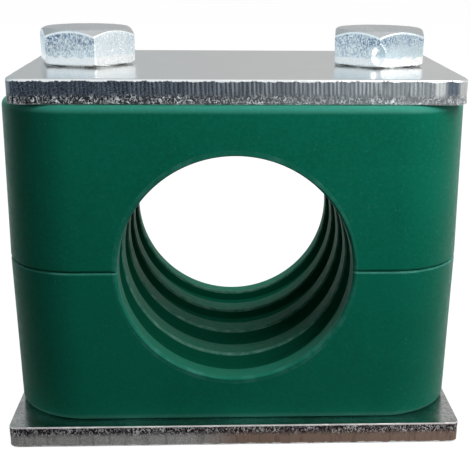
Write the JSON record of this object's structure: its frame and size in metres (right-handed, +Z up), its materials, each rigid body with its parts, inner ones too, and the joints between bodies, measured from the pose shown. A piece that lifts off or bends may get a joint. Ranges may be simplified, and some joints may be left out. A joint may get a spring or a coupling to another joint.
{
  "type": "hydraulic tube clamp",
  "caption": "Tube clamp with ribbed green plastic halves on a weld plate, closed by a flat cover plate and hexagon head bolts.",
  "frame": {"origin": "middle of the weld plate's underside", "axes": "+X along the clamp body from bolt to bolt, +Y along the tube towards the back, +Z up from the weld plate to the bolt heads"},
  "size_m": [0.05, 0.0322, 0.0442],
  "materials": {
    "green_plastic": "satin moulded polypropylene, fine scuffs and specks",
    "cover_steel": "zinc plated sheet steel, sheared edges",
    "weld_plate_steel": "bare to phosphated sheet steel, sheared edges",
    "bolt_steel": "bright zinc plated, mottled forged flats"
  },
  "bodies": {
    "base": {"weld_plate": "weld_plate_steel", "lower_clamp_half": "green_plastic"},
    "upper": {"upper_clamp_half": "green_plastic"},
    "cover": {"cover_plate": "cover_steel"},
    "bolt_left": {"bolt_left": "bolt_steel"},
    "bolt_right": {"bolt_right": "bolt_steel"}
  },
  "joints": [
    {"name": "upper_lift", "type": "slide", "parent": "base", "child": "upper", "axis": [0, 0, 1], "range_m": [0, 0.03]},
    {"name": "cover_rise", "type": "slide", "parent": "upper", "child": "cover", "axis": [0, 0, 1], "range_m": [0, 0.0052]},
    {"name": "bolt_left_turn", "type": "hinge", "parent": "cover", "child": "bolt_left", "pos_m": [-0.0165, 0, 0.0402], "axis": [0, 0, 1], "range_deg": [0, 1872]},
    {"name": "bolt_right_turn", "type": "hinge", "parent": "cover", "child": "bolt_right", "pos_m": [0.0165, 0, 0.0402], "axis": [0, 0, 1], "range_deg": [0, 1872]}
  ],
  "couplings": [
    {"joint": "bolt_left_turn", "follows": "cover_rise", "rad_per_m": 6283.2},
    {"joint": "bolt_right_turn", "follows": "cover_rise", "rad_per_m": 6283.2}
  ]
}
